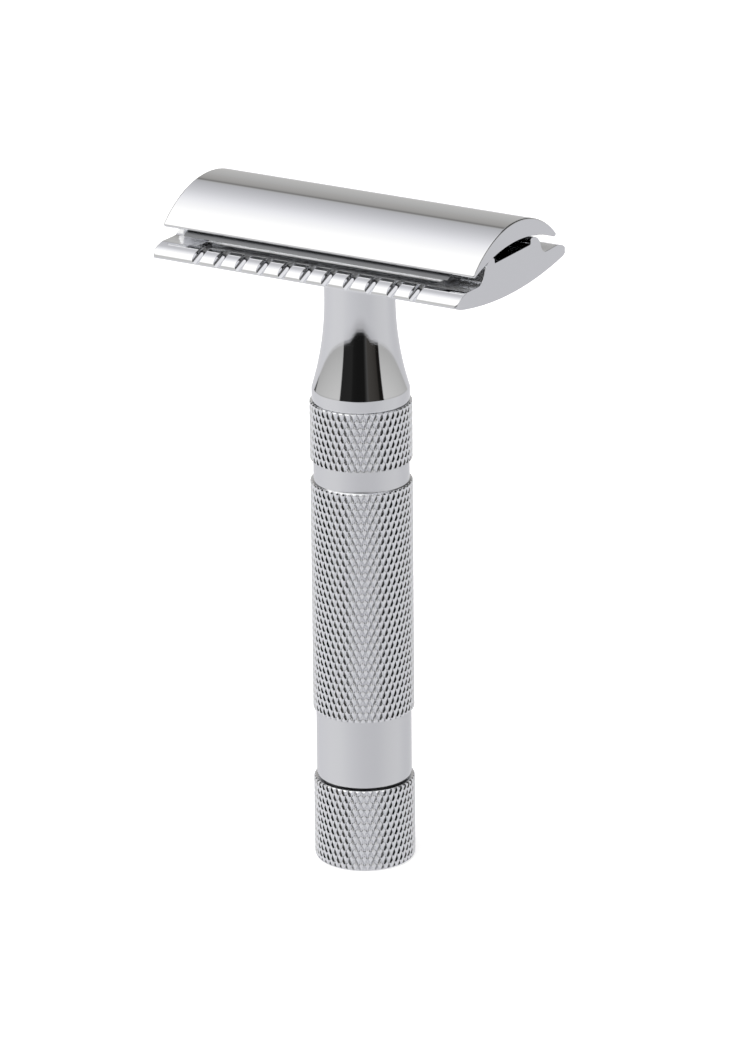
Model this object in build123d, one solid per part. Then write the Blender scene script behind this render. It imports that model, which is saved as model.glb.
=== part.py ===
from build123d import *
import os
from math import sqrt, radians, sin, cos, pi

# Double-edge safety razor, twist-knob pattern. Units mm.
# Origin: centre of the flat lower end of the knob, on the handle axis.
# +Z up the handle, +X along the length of the head, -Y the front bar.

SIDES = (-1, 1)
RUN = 0.05               # radial running clearance

# Top cap
CAP_L = 43.8             # along X, covers both ends of the plate
CAP_HALF_W = 10.05       # lip, from the axis
CAP_TOP_Z = 86.50        # crest of the outer curve
CAP_R_OUT = 14.5
CAP_UNDER_Z = 83.96      # underside at the axis
CAP_R_IN = 25.3
CAP_END_CH = 0.12        # chamfer on the end edges of the outer curve

# Stud and guide pins
STUD_R = 2.50            # M5 x 0.8
STUD_POINT = 0.7         # lead-in at the lower end
STUD_LOW_Z = 74.0
STUD_HEAD_TOP_Z = 85.1
STUD_CLEAR = 0.35        # radial, in the plate and at the mouth of the socket nut
PIN_R = 1.45
PIN_X = 13.0
PIN_LOW_Z = 80.4
PIN_TOP_Z = 84.9
PIN_CLEAR = 0.12         # radial, in the plate
PIN_HOLE_LOW_Z = 79.6

# Blade
BLADE_T = 0.10
BLADE_L = 42.8
BLADE_HALF_W = 10.65     # bent under the cap
BLADE_EDGE_INSET = 0.02  # the lower face is this much narrower on each side
BLADE_EDGE_L = 37.2      # length of the cutting edges
BLADE_TAB_HALF = 6.6     # half width of the end tabs
BLADE_GAP = 0.02         # free space each side of the blade
BLADE_STUD_HOLE_R = 3.6
BLADE_PIN_HOLE_R = 2.1
BLADE_SLOT_L = 36.8
BLADE_SLOT_W = 1.3
BLADE_SLOT_END_R = 0.9   # round ends of the slot

# Base plate
HEAD_L = 43.0            # along X
PLATE_HALF_W = 13.3      # safety bar nose, from the axis
PLATE_CORNER_R = 0.5
PLATE_LOW_Z = 77.5       # underside at the axis
PLATE_EDGE_Y = 12.5      # outer ends of the arched underside
PLATE_EDGE_LOW_Z = 78.78
CHANNEL_Z = 80.0         # floor of the lather channel
BAR_TOP_Z = 80.50        # crest of the safety bar
WALL_Y = 7.8             # side wall of the blade platform
END_BLOCK_L = 5.0        # solid block at each end of the channels
SLOT_HALF = 4.4          # half width of the recess under the blade
SLOT_FLOOR_Z = 82.4
BOSS_R = 4.9             # raised pad round the stud hole

# Scallops over each safety bar
SCALLOPS = 11
SCALLOP_PITCH = 3.05
SCALLOP_R = 0.72
SCALLOP_L = 4.6
SCALLOP_FALL = radians(15.6)   # outward and downward slope
SCALLOP_Y, SCALLOP_Z = 11.6, 79.52   # middle of the cylinder's lowest line
SCALLOP_DEPTH = 1.2      # of the square part, below the cylinder's axis

# Neck
NECK_SPIGOT_R = 4.80     # into the grip tube
NECK_SPIGOT_Z = 54.0
NECK_STUB_R = 4.00       # into the base plate
NECK_STUB_TOP_Z = 80.6
NECK_BORE_R = 3.50       # runs on the socket
NECK_BORE_LOW_Z = 69.6
NECK_LEDGE_R = 2.6       # narrow bore between the upper and lower bores
NECK_LEDGE_LOW_Z = 67.9
NECK_LOW_BORE_R = 3.9    # holds the upper bush
NECK_SHOULDER_Z = 77.74
NECK_FOOT_CH = 0.12

# Grip tube
KNURL_R = 6.35           # knurled diameter 12.7
KNURL_CH = 0.35          # chamfer at each knurl end
BAND_R = 5.98            # plain bands
COLLAR_TOP_Z = 60.55
COLLAR_LOW_Z = 52.90
GRIP_TOP_Z = 50.27
GRIP_LOW_Z = 19.94
TUBE_LOW_Z = 11.15
TUBE_END_CH = 0.15
TUBE_BORE_R = 4.0
LOW_CB_R = 4.60          # lower counterbore, holds the lower bush
LOW_CB_TOP_Z = 19.5

# Draw mechanism
ROD_R = 2.0
ROD_LOW_Z = 3.0
ROD_TOP_Z = 73.2
ROD_HOLE_TOP_Z = 9.5     # screw hole in the lower end
GROOVE_R = 1.6           # clip groove
GROOVE_LOW_Z = 20.75
GROOVE_TOP_Z = 21.35
CLIP_PLAY = 0.05         # axial, each side of the clip
CLIP_R = 3.2
SOCKET_R = NECK_BORE_R - RUN
SOCKET_CH = 0.3
SOCKET_LOW_Z = 70.2
SOCKET_TOP_Z = 79.2
SOCKET_FLOOR_Z = 73.4
UPPER_BUSH_LOW_Z = 55.5
UPPER_BUSH_TOP_Z = 64.5
SEAL_R = 0.85            # radius of the ring's round section
SEAL_Z = 65.9
BUSH_LOW_Z = 13.0
BUSH_TOP_Z = 19.0

# Wave washer: a flat strip ring whose height swings three times round
WAVE_MID_R = 2.95
WAVE_W = 1.5
WAVE_T = 0.24
WAVE_AMP = 0.42
WAVE_Z = 20.17
WAVE_COUNT = 3
WAVE_STEPS = 36          # sections in a full turn

# Knob and its screw
KNOB_TOP_Z = 10.85
KNOB_TOP_CH = 0.4
KNOB_SPIGOT_R = 3.0
KNOB_SPIGOT_TOP_Z = 18.7
WASHER_GAP = 0.03        # above and below the knob washer
SCREW_HEAD_R = 3.3
SCREW_HEAD_LOW_Z = 0.7
SCREW_HEAD_CH = 0.3
SCREW_CB_R = 3.5
SCREW_CB_Z = 2.6
SCREW_R = 1.25
SCREW_TOP_Z = 8.8
SCREW_CLEAR = 0.1        # radial, in the knob

# ------------------------------------------------------------------ outlines
# (y, z) round the cap lip, from the outer curve to the underside
CAP_LIP = [(CAP_HALF_W - 0.03, 82.43), (CAP_HALF_W, 82.31),
           (CAP_HALF_W - 0.03, 82.19), (CAP_HALF_W - 0.12, 82.10),
           (CAP_HALF_W - 0.24, 82.05)]

# (y, z) of the safety bar nose: crest to widest point, then on underneath
NOSE_UPPER = [(11.25, BAR_TOP_Z), (11.85, 80.42), (12.35, 80.25), (12.75, 80.02),
              (13.05, 79.76), (13.24, 79.48), (PLATE_HALF_W, 79.28)]
NOSE_LOWER = [NOSE_UPPER[-1], (13.26, 79.14), (13.10, 79.02)]

# (y, z) of the end blocks' top, from the recess floor out to the bar
END_TOP = [(SLOT_HALF, SLOT_FLOOR_Z), (SLOT_HALF, 82.95), (4.62, 83.16),
           (4.95, 83.20), (5.55, 83.08), (6.10, 82.80), (6.50, 82.42),
           (6.80, 81.90), (7.10, 81.30), (7.42, 80.86), (7.90, 80.60),
           (8.60, BAR_TOP_Z)]

# (radius, z) up the outside of the neck
NECK_FLARE = [(6.08, 61.95), (6.02, 62.30), (5.89, 62.78), (5.69, 63.43),
              (5.36, 64.72), (5.11, 66.02), (4.86, 67.31), (4.71, 68.60),
              (4.56, 69.89), (4.47, 71.17), (4.41, 72.50), (4.39, 74.00),
              (4.42, 75.40), (4.60, 76.60), (5.05, 77.40)]


# ------------------------------------------------------------------- helpers
def yz_face(*edges):
    """Face on the YZ plane inside edges drawn in (y, z)."""
    return make_face(Plane.YZ * (Curve() + list(edges)))


def along_x(face, x_low, x_high):
    """Extrude a YZ face from x_low to x_high."""
    return Pos(x_low, 0, 0) * extrude(face, amount=x_high - x_low, dir=(1, 0, 0))


def post(radius, z_low, z_high, x=0.0, y=0.0):
    """Upright cylinder."""
    return Pos(x, y, (z_low + z_high) / 2) * Cylinder(radius, z_high - z_low)


def turned(points):
    """Revolve a closed (radius, z) outline about Z."""
    return revolve(make_face(Plane.XZ * Polyline(*points, close=True)), Axis.Z, 360)


def sleeve(r_in, r_out, z_low, z_high):
    return turned([(r_in, z_low), (r_out, z_low), (r_out, z_high), (r_in, z_high)])


def arc_z(crest_z, radius, y):
    """Height at y of an arc that crests over the axis."""
    return crest_z - radius + sqrt(radius ** 2 - y * y)


def arch(crest_z, radius, half_width):
    """The arc itself, from -Y to +Y."""
    end_z = arc_z(crest_z, radius, half_width)
    return ThreePointArc((-half_width, end_z), (0, crest_z), (half_width, end_z))


def mirror_y(points):
    return [(-y, z) for y, z in reversed(points)]


def plate_underside():
    return ThreePointArc((-PLATE_EDGE_Y, PLATE_EDGE_LOW_Z), (0, PLATE_LOW_Z),
                         (PLATE_EDGE_Y, PLATE_EDGE_LOW_Z))


# ---------------------------------------------------------------------- head
def top_cap():
    outer_y = CAP_HALF_W - 0.14
    under_y = CAP_HALF_W - 0.39
    lip = [(outer_y, arc_z(CAP_TOP_Z, CAP_R_OUT, outer_y)), *CAP_LIP,
           (under_y, arc_z(CAP_UNDER_Z, CAP_R_IN, under_y))]
    section = yz_face(arch(CAP_TOP_Z, CAP_R_OUT, outer_y), Polyline(*lip),
                      arch(CAP_UNDER_Z, CAP_R_IN, under_y), Polyline(*mirror_y(lip)))
    cap = along_x(section, -CAP_L / 2, CAP_L / 2)
    # only the two outer arcs have their middles this high
    end_edges = cap.edges().filter_by(
        lambda e: abs(abs(e.center().X) - CAP_L / 2) < 1e-4
        and e.center().Z > CAP_UNDER_Z + 0.6)
    cap = chamfer(end_edges, CAP_END_CH)
    cap -= post(STUD_R, CAP_UNDER_Z - 1, STUD_HEAD_TOP_Z)
    for x in (PIN_X, -PIN_X):
        cap -= post(PIN_R, CAP_UNDER_Z - 3, PIN_TOP_Z, x)
    return cap


def cap_stud():
    """Threaded stud, plain at its major diameter."""
    return turned([(0, STUD_LOW_Z), (STUD_R - STUD_POINT, STUD_LOW_Z),
                   (STUD_R, STUD_LOW_Z + STUD_POINT), (STUD_R, STUD_HEAD_TOP_Z),
                   (0, STUD_HEAD_TOP_Z)])


def cap_guide_pins():
    pin = turned([(0, PIN_LOW_Z), (PIN_R - 0.4, PIN_LOW_Z), (PIN_R, PIN_LOW_Z + 0.6),
                  (PIN_R, PIN_TOP_Z), (0, PIN_TOP_Z)])
    return Compound([Pos(side * PIN_X, 0, 0) * pin for side in SIDES])


def blade():
    # both faces are concentric with the cap's underside
    crest_z = CAP_UNDER_Z - BLADE_GAP
    radius = CAP_R_IN - BLADE_GAP
    upper = arch(crest_z, radius, BLADE_HALF_W)
    lower = arch(crest_z - BLADE_T, radius - BLADE_T, BLADE_HALF_W - BLADE_EDGE_INSET)
    section = yz_face(upper, Line(upper @ 1, lower @ 1), lower,
                      Line(upper @ 0, lower @ 0))
    body = along_x(section, -BLADE_L / 2, BLADE_L / 2)

    # cut the corners away beside the end tabs
    tab_l = (BLADE_L - BLADE_EDGE_L) / 2
    for sx in SIDES:
        for sy in SIDES:
            body -= Pos(sx * (BLADE_L / 2 - tab_l / 2 + 0.5),
                        sy * (BLADE_TAB_HALF + 5), 83) * Box(tab_l + 1.0, 10.0, 8)

    low, high = 79, 88
    holes = post(BLADE_STUD_HOLE_R, low, high)
    for side in SIDES:
        holes += post(BLADE_PIN_HOLE_R, low, high, side * PIN_X)
        holes += post(BLADE_SLOT_END_R, low, high, side * BLADE_SLOT_L / 2)
    holes += Pos(0, 0, (low + high) / 2) * Box(BLADE_SLOT_L, BLADE_SLOT_W, high - low)
    return body - holes


def plate_section(centre, top_half):
    """Closed plate section: the centre of the top, the rest of the top's +Y
    half (inner to outer) and its mirror, both noses, the arched underside."""
    edges = [centre, Polyline(*top_half), Polyline(*mirror_y(top_half))]
    top_y, top_z = top_half[-1]
    for side in (1, -1):
        upper = [(side * y, z) for y, z in NOSE_UPPER]
        lower = [(side * y, z) for y, z in NOSE_LOWER]
        edges += [
            Line((side * top_y, top_z), upper[0]),
            Spline(*upper, tangents=((side, 0.0), (0.0, -1.0))),
            Spline(*lower, tangents=((0.0, -1.0), (-side * 0.93, -0.37))),
            Line(lower[-1], (side * PLATE_EDGE_Y, PLATE_EDGE_LOW_Z))]
    return yz_face(*edges, plate_underside())


def scallop_cutters(x, side):
    """Sloping cylinder, and a box that squares it off below its axis."""
    origin = (x, side * (SCALLOP_Y + SCALLOP_R * sin(SCALLOP_FALL)),
              SCALLOP_Z + SCALLOP_R * cos(SCALLOP_FALL))
    slope = (0, side * cos(SCALLOP_FALL), -sin(SCALLOP_FALL))
    cylinder = Plane(origin=origin, z_dir=slope) * Cylinder(SCALLOP_R, SCALLOP_L)
    # side * local +Y points down
    box = Plane(origin=origin, x_dir=(1, 0, 0), z_dir=slope) * (
        Pos(0, side * SCALLOP_DEPTH / 2, 0)
        * Box(2 * SCALLOP_R, SCALLOP_DEPTH, SCALLOP_L))
    return cylinder, box


def base_plate():
    half_l = HEAD_L / 2
    mid_x = half_l - END_BLOCK_L

    # the blade platform follows the cap's underside, leaving room for the blade
    seat_crest_z = CAP_UNDER_Z - BLADE_T - 2 * BLADE_GAP
    mid_top = [(WALL_Y, arc_z(seat_crest_z, CAP_R_IN, WALL_Y)),
               (WALL_Y, CHANNEL_Z + 0.25), (WALL_Y + 0.25, CHANNEL_Z),
               (9.75, CHANNEL_Z), (10.35, BAR_TOP_Z - 0.08), (10.60, BAR_TOP_Z)]
    mid_section = plate_section(arch(seat_crest_z, CAP_R_IN, WALL_Y), mid_top)
    slot_floor = Line((-SLOT_HALF, SLOT_FLOOR_Z), (SLOT_HALF, SLOT_FLOOR_Z))
    end_section = plate_section(slot_floor, END_TOP)
    plate = along_x(mid_section, -mid_x, mid_x)
    plate += along_x(end_section, mid_x, half_l)
    plate += along_x(end_section, -half_l, -mid_x)

    # recess under the blade's centre, leaving a pad round the stud hole
    recess = Pos(0, 0, SLOT_FLOOR_Z + 2) * Box(2 * mid_x + 0.01, 2 * SLOT_HALF, 4)
    recess -= post(BOSS_R, SLOT_FLOOR_Z - 1, SLOT_FLOOR_Z + 5)
    plate -= recess

    # round the vertical corners
    r = PLATE_CORNER_R
    for sx in SIDES:
        for sy in SIDES:
            corner = Pos(sx * (half_l - r / 2), sy * (PLATE_HALF_W - r / 2), 80) \
                * Box(r, r, 6)
            corner -= post(r, 76, 84, sx * (half_l - r), sy * (PLATE_HALF_W - r))
            plate -= corner

    for side in SIDES:
        for i in range(SCALLOPS):
            x = (i - (SCALLOPS - 1) / 2) * SCALLOP_PITCH
            for cutter in scallop_cutters(x, side):
                plate -= cutter

    # holes for the neck, the stud and the two guide pins
    plate -= post(NECK_STUB_R, PLATE_LOW_Z - 1, NECK_STUB_TOP_Z)
    plate -= post(STUD_R + STUD_CLEAR, NECK_STUB_TOP_Z - 1, 86)
    for side in SIDES:
        plate -= post(PIN_R + PIN_CLEAR, PIN_HOLE_LOW_Z, 86, side * PIN_X)
    return plate


# -------------------------------------------------------------------- handle
def neck():
    foot_r = NECK_FLARE[0][0]
    rest = Polyline(
        NECK_FLARE[-1], (5.15, NECK_SHOULDER_Z), (NECK_STUB_R, NECK_SHOULDER_Z),
        (NECK_STUB_R, NECK_STUB_TOP_Z), (NECK_BORE_R, NECK_STUB_TOP_Z),
        (NECK_BORE_R, NECK_BORE_LOW_Z), (NECK_LEDGE_R, NECK_BORE_LOW_Z),
        (NECK_LEDGE_R, NECK_LEDGE_LOW_Z), (NECK_LOW_BORE_R, NECK_LEDGE_LOW_Z),
        (NECK_LOW_BORE_R, NECK_SPIGOT_Z), (NECK_SPIGOT_R, NECK_SPIGOT_Z),
        (NECK_SPIGOT_R, COLLAR_TOP_Z), (foot_r - NECK_FOOT_CH, COLLAR_TOP_Z),
        (foot_r, COLLAR_TOP_Z + NECK_FOOT_CH), NECK_FLARE[0])
    outline = Curve() + [Spline(*NECK_FLARE), rest]
    body = revolve(make_face(Plane.XZ * outline), Axis.Z, 360)

    # trim the flared top to the arched underside of the plate, sparing the stub
    block_top_z = 79.5
    above = along_x(yz_face(
        plate_underside(),
        Polyline((PLATE_EDGE_Y, PLATE_EDGE_LOW_Z), (PLATE_EDGE_Y, block_top_z),
                 (-PLATE_EDGE_Y, block_top_z), (-PLATE_EDGE_Y, PLATE_EDGE_LOW_Z))),
        -8, 8)
    return body - (above - post(NECK_STUB_R, 76, 81))


def grip_tube():
    """Collar, plain band, grip and lower band; the knurls are left smooth."""
    return turned([
        (NECK_SPIGOT_R, COLLAR_TOP_Z), (KNURL_R - KNURL_CH, COLLAR_TOP_Z),
        (KNURL_R, COLLAR_TOP_Z - KNURL_CH), (KNURL_R, COLLAR_LOW_Z + KNURL_CH),
        (BAND_R, COLLAR_LOW_Z), (BAND_R, GRIP_TOP_Z),
        (KNURL_R, GRIP_TOP_Z - KNURL_CH), (KNURL_R, GRIP_LOW_Z + KNURL_CH),
        (BAND_R, GRIP_LOW_Z), (BAND_R, TUBE_LOW_Z + TUBE_END_CH),
        (BAND_R - TUBE_END_CH, TUBE_LOW_Z), (LOW_CB_R, TUBE_LOW_Z),
        (LOW_CB_R, LOW_CB_TOP_Z), (TUBE_BORE_R, LOW_CB_TOP_Z),
        (TUBE_BORE_R, NECK_SPIGOT_Z), (NECK_SPIGOT_R, NECK_SPIGOT_Z)])


# ------------------------------------------------------------ draw mechanism
def upper_bush():
    return sleeve(ROD_R + RUN, NECK_LOW_BORE_R, UPPER_BUSH_LOW_Z, UPPER_BUSH_TOP_Z)


def rod_seal():
    """Rubber ring on the rod above the bush, keeps water out of the handle."""
    return Pos(0, 0, SEAL_Z) * Torus(ROD_R + RUN + SEAL_R, SEAL_R)


def socket_nut():
    return turned([
        (ROD_R, SOCKET_LOW_Z), (SOCKET_R - SOCKET_CH, SOCKET_LOW_Z),
        (SOCKET_R, SOCKET_LOW_Z + SOCKET_CH), (SOCKET_R, SOCKET_TOP_Z),
        (STUD_R + STUD_CLEAR, SOCKET_TOP_Z), (STUD_R + RUN, SOCKET_TOP_Z - SOCKET_CH),
        (STUD_R + RUN, SOCKET_FLOOR_Z), (ROD_R, SOCKET_FLOOR_Z)])


def draw_rod():
    return turned([
        (SCREW_R, ROD_LOW_Z), (ROD_R, ROD_LOW_Z), (ROD_R, GROOVE_LOW_Z),
        (GROOVE_R, GROOVE_LOW_Z), (GROOVE_R, GROOVE_TOP_Z), (ROD_R, GROOVE_TOP_Z),
        (ROD_R, ROD_TOP_Z), (0, ROD_TOP_Z), (0, ROD_HOLE_TOP_Z),
        (SCREW_R, ROD_HOLE_TOP_Z)])


def retaining_clip():
    """Ring in the rod's groove, open on the -Y side."""
    clip = sleeve(GROOVE_R, CLIP_R, GROOVE_LOW_Z + CLIP_PLAY, GROOVE_TOP_Z - CLIP_PLAY)
    return clip - Pos(0, -2.5, (GROOVE_LOW_Z + GROOVE_TOP_Z) / 2) * Box(1.8, 3.0, 1.2)


def wave_section(i):
    angle = 2 * pi * i / WAVE_STEPS
    plane = Plane(origin=(WAVE_MID_R * cos(angle), WAVE_MID_R * sin(angle),
                          WAVE_Z + WAVE_AMP * sin(WAVE_COUNT * angle)),
                  x_dir=(cos(angle), sin(angle), 0),
                  z_dir=(-sin(angle), cos(angle), 0))
    return plane * Rectangle(WAVE_W, WAVE_T)


def wave_washer():
    """Lofted in thirds, since one loft can't close on itself."""
    span = WAVE_STEPS // 3
    thirds = [loft([wave_section(i) for i in range(first, first + span + 1)],
                   ruled=True)
              for first in range(0, WAVE_STEPS, span)]
    return thirds[0] + thirds[1] + thirds[2]


def thrust_washer():
    return sleeve(2.1, 3.8, 19.05, 19.55)


def lower_bush():
    return sleeve(KNOB_SPIGOT_R + RUN, LOW_CB_R, BUSH_LOW_Z, BUSH_TOP_Z)


def knob_washer():
    return sleeve(KNOB_SPIGOT_R + 0.2, 5.45, KNOB_TOP_Z + WASHER_GAP,
                  TUBE_LOW_Z - WASHER_GAP)


# ---------------------------------------------------------------------- knob
def knob():
    hole_r = SCREW_R + SCREW_CLEAR
    return turned([
        (SCREW_CB_R, 0), (KNURL_R - 0.5, 0), (KNURL_R - 0.12, 0.18), (KNURL_R, 0.55),
        (KNURL_R, KNOB_TOP_Z - KNOB_TOP_CH), (KNURL_R - KNOB_TOP_CH, KNOB_TOP_Z),
        (KNOB_SPIGOT_R, KNOB_TOP_Z), (KNOB_SPIGOT_R, KNOB_SPIGOT_TOP_Z),
        (ROD_R, KNOB_SPIGOT_TOP_Z), (ROD_R, ROD_LOW_Z), (hole_r, ROD_LOW_Z),
        (hole_r, SCREW_CB_Z), (SCREW_CB_R, SCREW_CB_Z)])


def knob_screw():
    """Slotted screw, head down in the knob's counterbore."""
    screw = turned([
        (0, SCREW_HEAD_LOW_Z), (SCREW_HEAD_R - SCREW_HEAD_CH, SCREW_HEAD_LOW_Z),
        (SCREW_HEAD_R, SCREW_HEAD_LOW_Z + SCREW_HEAD_CH), (SCREW_HEAD_R, SCREW_CB_Z),
        (SCREW_R, SCREW_CB_Z), (SCREW_R, SCREW_TOP_Z), (0, SCREW_TOP_Z)])
    return screw - Pos(0, 0, 0.9) * Box(2 * SCREW_HEAD_R + 1, 0.9, 1.4)


# each piece is saved under its function's name
os.makedirs("parts", exist_ok=True)
for piece in (top_cap, cap_stud, cap_guide_pins, blade, base_plate, neck, grip_tube,
              upper_bush, rod_seal, socket_nut, draw_rod, retaining_clip, wave_washer,
              thrust_washer, lower_bush, knob_washer, knob, knob_screw):
    export_step(piece(), f"parts/{piece.__name__}.step")
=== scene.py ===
# Safety razor standing on its knob. The handle's axis is Z and the floor is
# z = 0; the head runs along X and the blade's two cutting edges face -Y and +Y.
# Shapes are given in millimetres and turned into metres as meshes are made.
import bpy, bmesh
from math import asin, atan2, ceil, copysign, cos, dist, pi, radians, sin, sqrt
from mathutils import Vector, Matrix
from mathutils.geometry import tessellate_polygon


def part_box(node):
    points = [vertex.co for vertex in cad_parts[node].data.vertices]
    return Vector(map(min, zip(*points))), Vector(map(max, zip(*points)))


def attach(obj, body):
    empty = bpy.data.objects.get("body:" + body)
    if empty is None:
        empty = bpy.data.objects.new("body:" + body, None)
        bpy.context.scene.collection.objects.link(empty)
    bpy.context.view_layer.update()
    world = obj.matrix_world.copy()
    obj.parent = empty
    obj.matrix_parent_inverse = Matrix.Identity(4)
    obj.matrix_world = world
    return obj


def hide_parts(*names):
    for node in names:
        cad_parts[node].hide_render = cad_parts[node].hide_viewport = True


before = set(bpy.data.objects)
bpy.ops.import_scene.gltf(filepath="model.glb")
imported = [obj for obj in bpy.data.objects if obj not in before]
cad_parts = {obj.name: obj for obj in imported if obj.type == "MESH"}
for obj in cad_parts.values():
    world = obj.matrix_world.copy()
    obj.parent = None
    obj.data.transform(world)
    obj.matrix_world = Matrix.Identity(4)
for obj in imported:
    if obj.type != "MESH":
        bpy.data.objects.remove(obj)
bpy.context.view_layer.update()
MM = 0.001
scene = bpy.context.scene


# ------------------------------------------------------------------ dimensions
def box_mm(node):
    low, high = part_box(node)
    return [v / MM for v in low], [v / MM for v in high]


CAP_HALF_L, CAP_HALF_W, CAP_TOP_Z = box_mm("top_cap")[1]
plate_low, plate_high = box_mm("base_plate")
tube_low, tube_high = box_mm("grip_tube")
stud_low, stud_high = box_mm("cap_stud")
HALF_L = plate_high[0]
PLATE_HALF_W = plate_high[1]
PLATE_LOW_Z = plate_low[2]
BLADE_HALF_L, BLADE_HALF_W = box_mm("blade")[1][:2]
COLLAR_TOP_Z = tube_high[2]
TUBE_LOW_Z = tube_low[2]
KNURL_R = tube_high[0]
KNOB_SPIGOT_TOP_Z = box_mm("knob")[1][2]

PIN_X = 13.0                  # guide pins, either side of the stud
STUD_R = 2.5

CAP_R_OUT = 14.5              # crown of the cap, above and below
CAP_R_IN = 25.3
CAP_UNDER_Z = 83.96
CAP_END_ROUND = 0.20
CAP_BORE_R, CAP_BORE_TOP_Z = STUD_R, 85.1
CAP_PIN_R, CAP_PIN_TOP_Z = 1.45, 84.9

BLADE_T = 0.10
BLADE_GAP = 0.02
GRIND_W = 0.42                # width over which the blade thins to its edge
BLADE_SHOULDER_X = 18.6       # full width inside this, a narrow tab outside
BLADE_TAB_HALF_W = 6.6
BLADE_CORNER_R = 0.5
BLADE_SLOT_HALF_W = 0.65
BLADE_SLOT_END_X, BLADE_SLOT_END_R = 18.4, 0.9
BLADE_PIN_R, BLADE_CENTRE_R = 2.1, 3.6

PLATE_EDGE_LOW_Z = 78.78      # underside of the plate at UNDER_HALF_W
UNDER_HALF_W = 12.5
CHANNEL_Z = 80.0
WALL_Y = 7.8
END_BLOCK_L = 5.0
PLATE_CORNER_R = 0.5
PLATE_END_ROUND = 0.06
BED_Z = 82.80                 # top of the end blocks on the axis
SLOT_HALF = 4.4               # recess along the plate's middle
SLOT_FLOOR_Z = 82.4
BOSS_R = 4.9
PLATE_PIN_R = 1.57
PLATE_STUD_R = 2.85
SCALLOPS = 11                 # on each long edge
SCALLOP_PITCH = 3.05
SCALLOP_R = 0.62
SCALLOP_FALL = radians(21.0)
SCALLOP_Y, SCALLOP_Z = 11.6, 79.80
SCALLOP_REACH = (-2.35, 2.6)  # along the groove, in and out of (Y, Z) above

NECK_TOP_R = 4.0              # where the neck stands in the plate
SPIGOT_R = 4.8                # where the neck stands in the tube
SPIGOT_LOW_Z = 54.0
LIP_R = 6.08

BAND_R = 5.98                 # plain turned bands of the tube
COLLAR_LOW_Z = 52.90
GRIP_TOP_Z = 50.27
GRIP_LOW_Z = 19.94
TUBE_CHAMFER = 0.14
PROUD = 0.05                  # turned blanks stand this far outside the knurl
KNOB_TOP_Z = 10.85
TURN_SEGMENTS, TURN_PHASE = 288, 0.0113

DIAMONDS = 48                 # knurl diamonds round the handle
DIAMOND_H = 1.85
# one diamond: distance from its centre in half diamonds, height above the groove
DIAMOND_STEPS = [(1.0, 0.0), (0.90, 0.035), (0.60, 0.170), (0.51, 0.200), (0.42, 0.210)]
TOOL_R = 8.0                  # knurling tool outside its zones


# -------------------------------------------------------------- mesh utilities
def new_object(name, verts, faces, merge=True):
    """Object from millimetre vertices; faces are index lists."""
    mesh = bpy.data.meshes.new(name)
    mesh.from_pydata([(x * MM, y * MM, z * MM) for x, y, z in verts], [], faces)
    mesh.validate()
    ob = bpy.data.objects.new(name, mesh)
    scene.collection.objects.link(ob)
    bm = bmesh.new()
    bm.from_mesh(mesh)
    if merge:
        bmesh.ops.remove_doubles(bm, verts=bm.verts, dist=2e-7)
    bmesh.ops.recalc_face_normals(bm, faces=bm.faces)
    bm.to_mesh(mesh)
    bm.free()
    return ob


def band(ring_a, ring_b):
    """Faces joining two closed rings; a ring may be one vertex repeated."""
    faces = []
    for i in range(len(ring_a)):
        j = (i + 1) % len(ring_a)
        face = list(dict.fromkeys((ring_a[i], ring_a[j], ring_b[j], ring_b[i])))
        if len(face) > 2:
            faces.append(face)
    return faces


def loft(name, rings, merge=True):
    """Closed solid through rings of (x, y, z) with equal point counts."""
    n = len(rings[0])
    index = [list(range(r * n, (r + 1) * n)) for r in range(len(rings))]
    faces = [face for a, b in zip(index, index[1:]) for face in band(a, b)]
    faces += [index[0][::-1], index[-1]]
    return new_object(name, [p for ring in rings for p in ring], faces, merge)


def lathe(name, profile, segments=256, phase=0.0):
    """Closed solid of revolution from a closed outline of (radius, z)."""
    verts, faces, rings = [], [], []
    for r, z in profile:
        if r < 1e-6:
            rings.append([len(verts)] * segments)
            verts.append((0.0, 0.0, z))
        else:
            rings.append(list(range(len(verts), len(verts) + segments)))
            for k in range(segments):
                angle = 2 * pi * k / segments + phase
                verts.append((r * cos(angle), r * sin(angle), z))
    for a, b in zip(rings, rings[1:] + rings[:1]):
        faces += band(a, b)
    return new_object(name, verts, faces)


def cylinder(r, z0, z1, x=0.0, segments=64):
    ob = lathe("cutter", [(0, z0), (r, z0), (r, z1), (0, z1)], segments)
    ob.data.transform(Matrix.Translation((x * MM, 0, 0)))
    return ob


def no_repeats(items, place=lambda p: p):
    """Closed outline without repeated points; place gives an item's point."""
    out = []
    for item in items:
        if not out or dist(place(item), place(out[-1])) > 1e-5:
            out.append(item)
    if dist(place(out[0]), place(out[-1])) < 1e-5:
        out.pop()
    return out


def prism_z(name, outline, z0, z1):
    """Closed outline of (x, y) drawn out along Z."""
    outline = no_repeats(outline)
    return loft(name, [[(x, y, z) for x, y in outline] for z in (z0, z1)])


def inset(outline, depth):
    """Closed anticlockwise outline moved inwards."""
    if depth == 0:
        return list(outline)
    out = []
    for i, p in enumerate(outline):
        before, after = outline[i - 1], outline[(i + 1) % len(outline)]
        edge1 = Vector((p[0] - before[0], p[1] - before[1]))
        edge2 = Vector((after[0] - p[0], after[1] - p[1]))
        edge1 = edge1.normalized() if edge1.length > 1e-9 else edge2.normalized()
        edge2 = edge2.normalized() if edge2.length > 1e-9 else edge1
        normal1, normal2 = Vector((-edge1.y, edge1.x)), Vector((-edge2.y, edge2.x))
        mitre = normal1 + normal2
        mitre = mitre.normalized() if mitre.length > 1e-6 else normal1
        stretch = max(mitre.dot(normal1), 0.45)       # limits long mitres
        out.append((p[0] + mitre.x / stretch * depth, p[1] + mitre.y / stretch * depth))
    return out


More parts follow.
